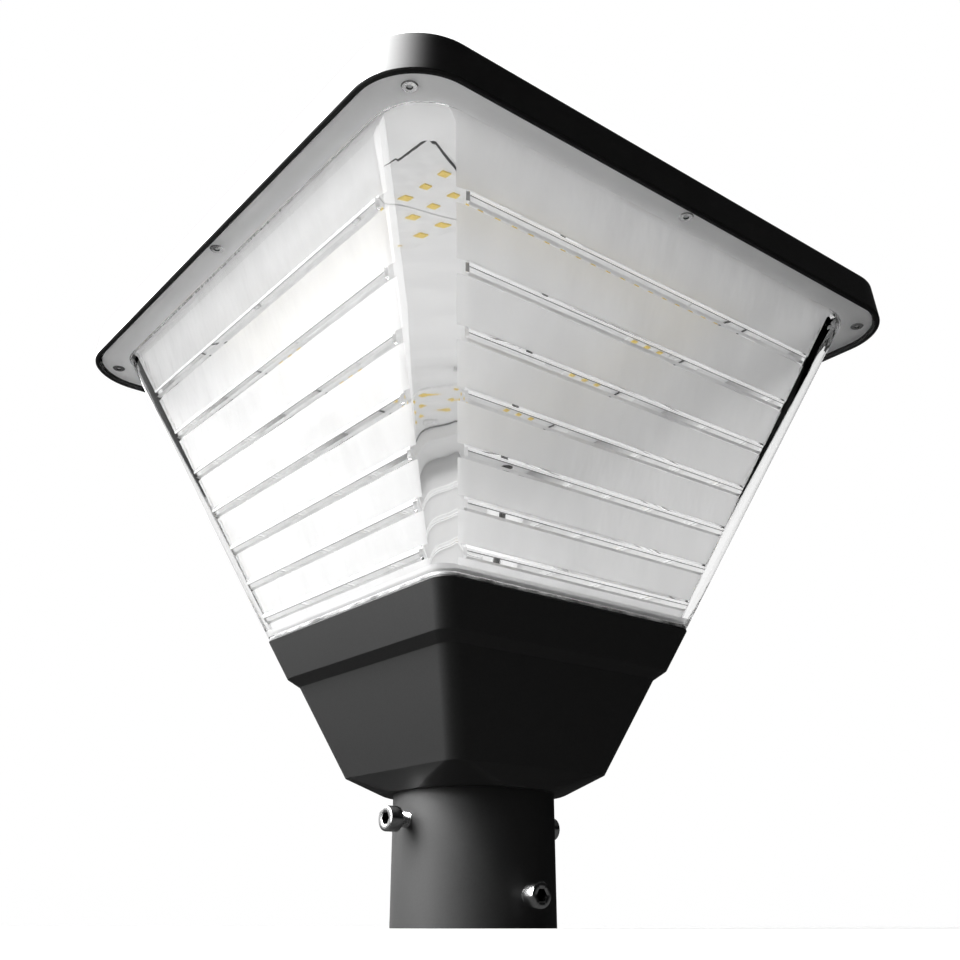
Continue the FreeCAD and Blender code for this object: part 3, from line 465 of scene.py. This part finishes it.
COAT = coated_metal()
CAP_PAINT = gloss_black()
CLEAR = clear_resin()
FROSTED = frosted_resin()
# Painted shade on the bars' lower edges and ends, in two strengths.
HARD_PAINTED_SHADE = painted_shade_resin("bar_edge_painted_shade", 0.28)
SOFT_PAINTED_SHADE = painted_shade_resin("bar_edge_painted_shade_soft", 0.85)
# A glowing painted highlight along the bars' upper edges.
BAR_PAINTED_HIGHLIGHT = painted_highlight_resin()
FLANGE_RESIN = flange_resin()
# Painted shade: the cap's downward faces are darker, and matt.
UNDERSIDE_PAINTED_SHADE = plain("cap_underside_painted_shade", grey(0.004), grey(0.006), 300.0, 0.7)
WHITE_SHEET = plain("white_sheet_paint", grey(0.88), grey(0.94), 60.0, 0.45)
BOARD = plain("white_solder_mask", grey(0.86), grey(0.93), 200.0, 0.35)
CHIP = plain("phosphor", (0.86, 0.62, 0.12), (0.95, 0.74, 0.2), 700.0, 0.4)
STEEL = plain("bright_steel", grey(0.62), grey(0.78), 500.0, 0.22, metallic=1.0)
# Painted shade for the screws' recesses.
RECESS_PAINTED_SHADE = plain("recess_painted_shade", grey(0.03), grey(0.05), 500.0, 0.5, metallic=1.0)
ZINC = plain("zinc_plate", (0.42, 0.44, 0.46), (0.62, 0.63, 0.64), 300.0, 0.35, metallic=1.0)
GASKET = plain("pale_rubber", grey(0.84), grey(0.92), 300.0, 0.6)
# Painted glints: the seal is mottled dark and pale grey.
SEAL_PAINTED_GLINTS = plain("seal_painted_glints", grey(0.1), grey(0.62), 90.0, 0.3)
DARK_RUBBER = plain("dark_rubber", grey(0.02), grey(0.035), 300.0, 0.65)
CASE = plain("dark_case", grey(0.03), grey(0.05), 300.0, 0.45)
NYLON = plain("white_nylon", grey(0.6), grey(0.72), 300.0, 0.45)
JACKET = plain("cable_jacket", grey(0.03), grey(0.045), 500.0, 0.5)

SLOT_LOOKS = {
    "cast_base": COAT,
    "cast_cap": CAP_PAINT,
    "sleeve": COAT,
    "lens": CLEAR,
    "steel": STEEL,
    "white_sheet": WHITE_SHEET,
    "seal": GASKET,
    "dark_seal": DARK_RUBBER,
    "board": BOARD,
    "chip": CHIP,
    "driver_case": CASE,
    "zinc": ZINC,
    "white_plastic": NYLON,
    "cable": JACKET,
}


def dress_cad_nodes():
    """Give every CAD node the look of its material slot."""
    for entry in frame["record"]["subparts"]:
        shown = frame["nodes"][entry["node"]]
        shown.data.materials.clear()
        shown.data.materials.append(SLOT_LOOKS[entry["material_slot"]])
    # The base seal gets the painted glints.
    frame["nodes"]["base_seal"].data.materials[0] = SEAL_PAINTED_GLINTS


dress_cad_nodes()


# ---------------------------------------------------------------- lens


def rib_levels():
    """Heights of each rib's low edge, plateau and high edge."""
    rise = RIB_WIDTH * cos(LENS_SLOPE) / 2
    side = RIB_SIDE * cos(LENS_SLOPE)
    centre = RIB_FIRST_Z
    pitch = RIB_PITCH
    for _ in range(RIB_COUNT):
        yield centre - rise, centre - rise + side, centre + rise - side, centre + rise
        centre -= pitch
        pitch -= RIB_PITCH_LOSS


def slope_size(z, inset=0.0):
    """Half width and corner radius of the sloping walls at a height, seen level."""
    share = (z - LENS_FOOT_Z) / (LENS_TOP_Z - LENS_FOOT_Z)
    shrink = inset / cos(LENS_SLOPE)
    half = LENS_FOOT_HALF + (LENS_TOP_HALF - LENS_FOOT_HALF) * share - shrink
    corner = LENS_FOOT_CORNER + (LENS_TOP_CORNER - LENS_FOOT_CORNER) * share
    return half, corner * (INNER_CORNER_GROWTH if inset and z < LENS_TOP_Z else 1.0)


LENS_SPLITS = (RIB_END_INSET, RIB_END_INSET + RIB_SIDE, RIB_MIDDLE_INSET)
LENS_FLATS = 2 * len(LENS_SPLITS) + 1  # faces along one straight side
LENS_SPAN = LENS_FLATS + ARC_STEPS  # faces along one side and its corner
RAISED = range(2, LENS_FLATS - 1)  # points of a straight side that a rib lifts
BAR_ENDS = (RAISED[0] - 1, RAISED[-1])
INTO_CORNER = [*range(LENS_FLATS + FROSTED_ARC_STEPS), *range(LENS_SPAN - FROSTED_ARC_STEPS, LENS_SPAN)]
LENS_LOOKS = [CLEAR, FROSTED, HARD_PAINTED_SHADE, SOFT_PAINTED_SHADE, BAR_PAINTED_HIGHLIGHT, FLANGE_RESIN]
LENS_ZONES = {
    "frosted": (FROSTED, INTO_CORNER),
    # The bars' edges carry painted shade and a painted highlight.
    "hard": (HARD_PAINTED_SHADE, RAISED[:-1]),
    "soft": (SOFT_PAINTED_SHADE, RAISED[:-1]),
    "shine": (BAR_PAINTED_HIGHLIGHT, RAISED[:-1]),
    "matt": (FLANGE_RESIN, range(LENS_SPAN)),
}


def lens_levels():
    """Each level of the shell, from its mouth up the outside and down the inside.

    A level is its half width, corner radius, height, how proud its ribs stand, and the zone above it.
    """
    foot, top = LENS_FOOT_Z, LENS_TOP_Z
    yield LENS_MOUTH_HALF, LENS_MOUTH_CORNER, foot, 0.0, "plain"
    yield *slope_size(foot), foot, 0.0, "matt"
    yield *slope_size(foot + FOOT_BAND), foot + FOOT_BAND, 0.0, "plain"
    for low, low_top, high_top, high in reversed(list(rib_levels())):
        # The bright line at the bar's upper edge is a painted highlight.
        shine = high_top - RIB_PAINTED_HIGHLIGHT
        # The dark line under the highlight is painted shade.
        painted_shade = shine - RIB_PAINTED_SHADE
        yield *slope_size(low), low, 0.0, "soft"
        yield *slope_size(low_top), low_top, RIB_PROUD, "bar"
        yield *slope_size(painted_shade), painted_shade, RIB_PROUD, "hard"
        yield *slope_size(shine), shine, RIB_PROUD, "shine"
        yield *slope_size(high_top), high_top, RIB_PROUD, "side"
        yield *slope_size(high), high, 0.0, "soft"
        yield *slope_size(high + RIB_PAINTED_SHADE / 2), high + RIB_PAINTED_SHADE / 2, 0.0, "plain"
    half, corner = slope_size(top)
    yield *slope_size(top - SHOULDER_DROP), top - SHOULDER_DROP, 0.0, "plain"
    yield half + SHOULDER_REACH, corner + SHOULDER_REACH, top, 0.0, "matt"
    flange_top = top + FLANGE_THICKNESS
    yield FLANGE_HALF - FLANGE_EDGE, FLANGE_CORNER - FLANGE_EDGE, top, 0.0, "plain"
    yield FLANGE_HALF, FLANGE_CORNER, top + FLANGE_EDGE, 0.0, "plain"
    yield FLANGE_HALF, FLANGE_CORNER, flange_top - FLANGE_EDGE, 0.0, "plain"
    yield FLANGE_HALF - FLANGE_EDGE, FLANGE_CORNER - FLANGE_EDGE, flange_top, 0.0, "plain"
    for z in (flange_top, top - FROSTED_COLLAR):
        yield *slope_size(z, LENS_WALL), z, 0.0, "frosted"
    floor = foot + LENS_FLOOR
    for low, _, _, high in rib_levels():
        yield *slope_size(high + LENS_WALL_RISE, LENS_WALL), high + LENS_WALL_RISE, 0.0, "plain"
        if low + LENS_WALL_RISE > floor + 1.0:
            yield *slope_size(low + LENS_WALL_RISE, LENS_WALL), low + LENS_WALL_RISE, 0.0, "frosted"
    yield *slope_size(floor, LENS_WALL), floor, 0.0, "plain"
    yield LENS_MOUTH_HALF, LENS_MOUTH_CORNER, floor, 0.0, "plain"


def lens_face_look(zone, column, z):
    """The material of a face in a zone, a column of its side, and at a height."""
    look, columns = LENS_ZONES.get(zone, (CLEAR, ()))
    if column in columns:
        return look
    # The bars' ends are painted shade, darker at the first end of the upper ribs.
    if zone in ("bar", "hard", "shine") and column in BAR_ENDS:
        return HARD_PAINTED_SHADE if column == BAR_ENDS[0] and z > RIB_DARK_ENDS_Z else SOFT_PAINTED_SHADE
    return CLEAR


def build_lens():
    """One closed shell: floor lip, sloping walls with outer ribs, and the flange."""
    levels = list(lens_levels())
    loops = []
    for half, corner, z, proud, _ in levels:
        loop = [Vector((p.x, p.y, z)) for p in ring(half, corner, LENS_SPLITS)]
        for side in range(4):
            out = Matrix.Rotation(side * pi / 2, 3, "Z") @ Vector((cos(LENS_SLOPE), 0.0, -sin(LENS_SLOPE)))
            for point in RAISED:
                loop[side * LENS_SPAN + point] += out * proud
        loops.append(loop)
    mesh = stack(loops, close=True)
    mesh.faces.ensure_lookup_table()
    for row, (_, _, z, _, zone) in enumerate(levels):
        for i in range(4 * LENS_SPAN):
            look = lens_face_look(zone, i % LENS_SPAN, z)
            mesh.faces[row * 4 * LENS_SPAN + i].material_index = LENS_LOOKS.index(look)
    piece("lens_shell", mesh, LENS_LOOKS, replaces=("lens",), sharp=20.0)


build_lens()


# ---------------------------------------------------------------- cap


def build_cap():
    """A shallow lid with a slightly leaning skirt and a low hipped crown."""
    reach, drop = CAP_SKIRT_SUPPORT
    inner_rim = CAP_RIM_HALF - CAP_WALL
    inner_edge = CAP_EDGE_HALF - CAP_WALL - 0.5
    profile = [
        (CAP_APEX_HALF, CAP_CROWN_Z, CAP_APEX_CORNER, 0),
        (CAP_CROWN_HALF, CAP_CROWN_Z, CAP_CROWN_CORNER, 3.0),
        (CAP_EDGE_HALF, CAP_EDGE_Z, CAP_EDGE_CORNER, 2.2),
        (CAP_EDGE_HALF + reach, CAP_EDGE_Z - drop, CAP_EDGE_CORNER + reach, 0),
        (CAP_RIM_HALF - reach, CAP_RIM_Z + drop, CAP_RIM_CORNER - reach, 0),
        (CAP_RIM_HALF, CAP_RIM_Z, CAP_RIM_CORNER, 2.4),
        (inner_rim, CAP_RIM_Z, CAP_RIM_CORNER - CAP_WALL, 0.5),
        (inner_edge, CAP_EDGE_Z - CAP_WALL, CAP_EDGE_CORNER - CAP_WALL, 1.0),
        (CAP_CROWN_HALF, CAP_CROWN_Z - CAP_WALL, CAP_CROWN_CORNER, 2.0),
        (CAP_APEX_HALF, CAP_CROWN_Z - CAP_WALL, CAP_APEX_CORNER, 0),
    ]
    rings = [(ring(half, corner, (10.0,), 20), z) for half, z, corner in softened(profile, 6)]
    mesh = stack([[(p.x, p.y, z) for p in points] for points, z in rings], caps=(True, True))
    bmesh.ops.recalc_face_normals(mesh, faces=mesh.faces)
    for face in mesh.faces:
        # Downward faces get the darker matt look: painted shade.
        face.material_index = int(face.normal.z < CAP_UNDERSIDE_TILT)
    looks = [CAP_PAINT, UNDERSIDE_PAINTED_SHADE]
    piece("cap_lid", mesh, looks, replaces=("top_cap",), sharp=40.0, weighted=True)


build_cap()


# ---------------------------------------------------------------- base


def build_base():
    """The stepped casting, square above and round at its foot."""
    loops = [[(p.x, p.y, z) for p in ring(half, corner)] for half, z, corner in softened(BASE_PROFILE, 4)]
    mesh = stack(loops, close=True)
    piece("base_casting", mesh, COAT, replaces=("base_housing",), sharp=40.0, weighted=True)


build_base()


# ---------------------------------------------------------------- screws


def turned(profile, sides):
    """Closed loops about Z through (radius, z) points; a radius given as ("hex", flats) is a hexagon."""
    loops = []
    for radius, z in profile:
        loop = []
        for i in range(sides):
            angle = 2 * pi * i / sides
            reach = radius
            if isinstance(radius, tuple):
                reach = radius[1] / 2 / cos((angle + pi / 6) % (pi / 3) - pi / 6)
            loop.append((reach * cos(angle), reach * sin(angle), z))
        loops.append(loop)
    return stack(loops, caps=(True, True))


def paint_between(mesh, index, radius, low, high):
    """Give a material to the faces near the axis between two heights, in millimetres."""
    for face in mesh.faces:
        middle = face.calc_center_median() / MM
        if Vector((middle.x, middle.y)).length < radius and low < middle.z < high:
            face.material_index = index


def socket_screw():
    """A socket head cap screw with its face at 0 and its shank towards +Z."""
    head, under = SCREW_HEAD, SCREW_HEAD_HEIGHT
    key = ("hex", SCREW_KEY)
    profile = [(key, SCREW_KEY_DEPTH), (key, 0.3), (3.9, 0.0), (head - 0.9, 0.0), (head - 0.25, 0.25)]
    profile += [(head, 0.9), (head, under - 0.3), (head - 0.3, under), (SCREW_SHANK, under)]
    z = under + 0.6
    while z < SCREW_TIP - 1.2:
        root = SCREW_SHANK - SCREW_THREAD
        profile += [(root, z), (SCREW_SHANK, z + 0.5), (SCREW_SHANK, z + 0.7), (root, z + 1.15)]
        z += SCREW_PITCH
    profile += [(SCREW_SHANK - 0.6, SCREW_TIP - 0.8), (SCREW_SHANK - 1.2, SCREW_TIP)]
    mesh = turned(profile, 48)
    # The hex socket is painted dark: painted shade in the recess.
    paint_between(mesh, 1, 3.4, 0.2, SCREW_KEY_DEPTH + 0.1)
    return mesh


def build_pole_screws():
    """The four screws, each on its own body."""
    for name, turn, (reach, height) in POLE_SCREWS:
        mesh = socket_screw()
        spin = Matrix.Rotation(turn, 4, "Z")
        out = spin @ Vector((reach, 0.0, 0.0)) + Vector((0.0, 0.0, height))
        placed = Matrix.Translation(out * MM) @ spin @ Matrix.Rotation(-pi / 2, 4, "Y")
        bmesh.ops.transform(mesh, matrix=placed, verts=mesh.verts)
        node = f"pole_screw_{name}"
        looks = [STEEL, RECESS_PAINTED_SHADE]
        piece(f"{node}_turned", mesh, looks, body=node, replaces=(node,), sharp=25.0)


def build_lens_screws():
    """Eight heads under the flange, each with its recess painted dark as painted shade."""
    whole = bmesh.new()
    for quarter in range(4):
        for x, y in LENS_SCREW_PLACES:
            spot = Matrix.Rotation(quarter * pi / 2, 4, "Z") @ Vector((x, y, LENS_TOP_Z))
            mesh = turned(LENS_SCREW_PROFILE, 24)
            paint_between(mesh, 1, LENS_SCREW_RECESS, -0.6, 1.55)
            bmesh.ops.translate(mesh, vec=spot * MM, verts=mesh.verts)
            merge(whole, mesh)
    piece("lens_screw_heads", whole, [STEEL, RECESS_PAINTED_SHADE], replaces=("lens_screws",), sharp=30.0)


build_pole_screws()
build_lens_screws()


# ---------------------------------------------------------------- inside the lens


def build_bead():
    """A thin dark bead round the outer edge of the boards."""
    outside = (BEAD_HALF + BEAD_WIDTH, BEAD_CORNER + BEAD_WIDTH - 0.1)
    inside = (BEAD_HALF, BEAD_CORNER)
    top = BEAD_Z + BEAD_HEIGHT
    corners = ((*inside, BEAD_Z), (*outside, BEAD_Z), (*outside, top), (*inside, top))
    loops = [[(p.x, p.y, z) for p in ring(half, corner, (), 6)] for half, corner, z in corners]
    piece("fold_bead", stack(loops, close=True), DARK_RUBBER)


def tube(points, radius, sides=8):
    """A thin wire through points, as a mesh."""
    loops = []
    for i, point in enumerate(points):
        ahead = (points[min(i + 1, len(points) - 1)] - points[max(i - 1, 0)]).normalized()
        side = ahead.cross(Vector((0, 0, 1))).normalized()
        up = side.cross(ahead)
        turns = [2 * pi * k / sides for k in range(sides)]
        loops.append([point + (side * cos(a) + up * sin(a)) * radius for a in turns])
    return stack(loops, caps=(True, True))


def build_jumpers():
    """The short wire that joins two neighbouring boards, once in each corner."""
    whole = bmesh.new()
    start, bend, end = Vector(JUMPER_START), Vector(JUMPER_BEND), Vector(JUMPER_END)
    path = [start.lerp(bend, t / 6) for t in range(6)] + [bend.lerp(end, t / 3) for t in range(4)]
    for quarter in range(4):
        spin = Matrix.Rotation(quarter * pi / 2, 3, "Z")
        merge(whole, tube([spin @ p for p in path], JUMPER_RADIUS))
    piece("board_jumpers", whole, DARK_RUBBER, sharp=60.0)


build_bead()
build_jumpers()


# ---------------------------------------------------------------- leads


def curve_length(controls, steps=16):
    """Length of a quadratic NURBS curve with open ends, whose pieces join halfway between its points."""
    middles = [a.lerp(b, 0.5) for a, b in zip(controls[1:-2], controls[2:-1])]
    joints = [controls[0], *middles, controls[-1]]
    total = 0.0
    for start, pull, end in zip(joints, controls[1:-1], joints[1:]):
        shares = [k / steps for k in range(steps + 1)]
        spots = [start.lerp(pull, share).lerp(pull.lerp(end, share), share) for share in shares]
        total += sum((b - a).length for a, b in zip(spots, spots[1:]))
    return total


def build_leads():
    """Each lead is a curve along the same route as in the CAD."""
    for name, (radius, route) in LEADS.items():
        data = bpy.data.curves.new(f"{name}_curve", "CURVE")
        data.dimensions = "3D"
        data.bevel_depth = radius * MM
        data.bevel_resolution = 4
        run = data.splines.new("NURBS")
        corners = [Vector(p) for p in route]
        controls = [corners[0]]
        for before, corner, after in zip(corners, corners[1:], corners[2:]):
            controls += [corner.lerp(before, LEAD_BEND_SHARE), corner, corner.lerp(after, LEAD_BEND_SHARE)]
        controls.append(corners[-1])
        run.points.add(len(controls) - 1)
        for point, at in zip(run.points, controls):
            point.co = (*(at * MM), 1.0)
        run.order_u = 3
        run.use_endpoint_u = True
        run.resolution_u = 8
        data.materials.append(JACKET)
        item = bpy.data.objects.new(f"{name}_curve", data)
        scene.collection.objects.link(item)
        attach(item, "lantern")
        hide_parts(name)
        length = curve_length(controls) * MM


build_leads()


# ---------------------------------------------------------------- studio


def fade(made, value, start, end, low, high, kind="SMOOTHSTEP"):
    """A smooth change from low to high while the value goes from start to end."""
    node = add(made, "ShaderNodeMapRange", Value=value, From_Min=start, From_Max=end, To_Min=low, To_Max=high)
    node.interpolation_type = kind
    return node.outputs["Result"]


def build_world():
    """White behind the object, a broad soft bank of light to the left for reflections."""
    world = bpy.data.worlds.new("studio")
    world.use_nodes = True
    scene.world = world
    world.node_tree.nodes.clear()
    path = add(world, "ShaderNodeLightPath").outputs
    toward = add(world, "ShaderNodeTexCoord").outputs["Generated"]
    height = add(world, "ShaderNodeSeparateXYZ", Vector=toward).outputs["Z"]
    facing = add(world, "ShaderNodeVectorMath", Vector=toward)
    facing.operation = "DOT_PRODUCT"
    facing.inputs[1].default_value = Vector(BANK_TOWARD).normalized()
    bank = fade(world, facing.outputs["Value"], *BANK_FADE, *BANK_LEVELS, kind="SMOOTHERSTEP")
    raised = reckon(world, "MULTIPLY", bank, fade(world, height, *HORIZON_FADE, HORIZON_LEVEL, 1.0))
    glassed = reckon(world, "GREATER_THAN", path["Transmission Depth"], 0.5)
    mirrored = add(world, "ShaderNodeMix", Factor=glassed, A=raised, B=BEHIND_GLASS_LEVEL).outputs["Result"]
    white = (1.0, 1.0, 1.0, 1.0)
    lit, reflected, seen = (
        add(world, "ShaderNodeBackground", Color=white, Strength=level).outputs["Background"]
        for level in (AMBIENT, mirrored, 1.0)
    )
    indirect = blend(world, path["Is Glossy Ray"], lit, reflected)
    direct = reckon(world, "MAXIMUM", path["Is Camera Ray"], path["Is Transmission Ray"])
    add(world, "ShaderNodeOutputWorld", Surface=blend(world, direct, indirect, seen))


def build_floor():
    """Pale floor: it reads white to the camera and keeps the shadow."""
    mesh = bmesh.new()
    bmesh.ops.create_grid(mesh, x_segments=8, y_segments=8, size=FLOOR_HALF)
    data = bpy.data.meshes.new("studio_floor")
    mesh.to_mesh(data)
    mesh.free()
    floor = bpy.data.objects.new("studio_floor", data)
    scene.collection.objects.link(floor)
    made = shader_material("studio_floor", Roughness=0.9, Specular_IOR_Level=0.1)
    mottle(made, grey(0.29), grey(0.31), 4.0)
    nodes = made.node_tree.nodes
    shader = nodes["Principled BSDF"].outputs["BSDF"]
    path = add(made, "ShaderNodeLightPath").outputs
    white = (1.0, 1.0, 1.0, 1.0)
    direct = reckon(made, "MAXIMUM", path["Is Camera Ray"], path["Is Transmission Ray"])
    strength = reckon(made, "MULTIPLY_ADD", direct, FLOOR_GLOW_SEEN, FLOOR_GLOW)
    glow = add(made, "ShaderNodeEmission", Color=white, Strength=strength).outputs["Emission"]
    both = add(made, "ShaderNodeAddShader")
    feed(made, both.inputs[0], shader)
    feed(made, both.inputs[1], glow)
    dim = add(made, "ShaderNodeEmission", Color=white, Strength=FLOOR_MIRRORED).outputs["Emission"]
    indirect = blend(made, path["Is Glossy Ray"], shader, dim)
    surface = blend(made, direct, indirect, both.outputs["Shader"])
    feed(made, nodes["Material Output"].inputs["Surface"], surface)
    data.materials.append(made)


def soft_box(name, shape, size, power, toward, aim, distance):
    """An area lamp at a distance from the point it aims at, seen only by its light and reflections."""
    lamp = bpy.data.lights.new(name, "AREA")
    lamp.shape = shape
    lamp.size, lamp.size_y = size
    lamp.energy = power
    item = bpy.data.objects.new(name, lamp)
    scene.collection.objects.link(item)
    toward = Vector(toward).normalized()
    item.location = Vector(aim) + toward * distance
    item.rotation_euler = toward.to_track_quat("Z", "Y").to_euler()
    item.visible_camera = False
    item.visible_transmission = False


def build_camera():
    """The photograph's own viewpoint."""
    turn = radians(CAMERA_AZIMUTH)
    back = Vector((sin(turn), -cos(turn), 0.0))
    side = Vector((cos(turn), sin(turn), 0.0))
    data = bpy.data.cameras.new("viewpoint")
    data.sensor_width = SENSOR_WIDTH
    data.lens = FOCAL_PIXELS / FRAME_PIXELS * SENSOR_WIDTH
    data.clip_start = 0.01
    camera = bpy.data.objects.new("viewpoint", data)
    scene.collection.objects.link(camera)
    camera.location = (back * CAMERA_DISTANCE + side * CAMERA_SIDE + Vector((0, 0, CAMERA_HEIGHT))) * MM
    camera.rotation_euler = (pi / 2 + radians(CAMERA_PITCH), 0.0, turn)
    scene.camera = camera


build_world()
build_floor()
# The key is high on the left and a little behind; the strip lights the clear corner's left edge.
soft_box("key", "DISK", KEY_SIZE, KEY_POWER, KEY_TOWARD, KEY_AIM, KEY_DISTANCE)
soft_box("strip", "RECTANGLE", STRIP_SIZE, STRIP_POWER, STRIP_TOWARD, STRIP_AIM, STRIP_DISTANCE)
build_camera()
scene.view_settings.view_transform = "Standard"
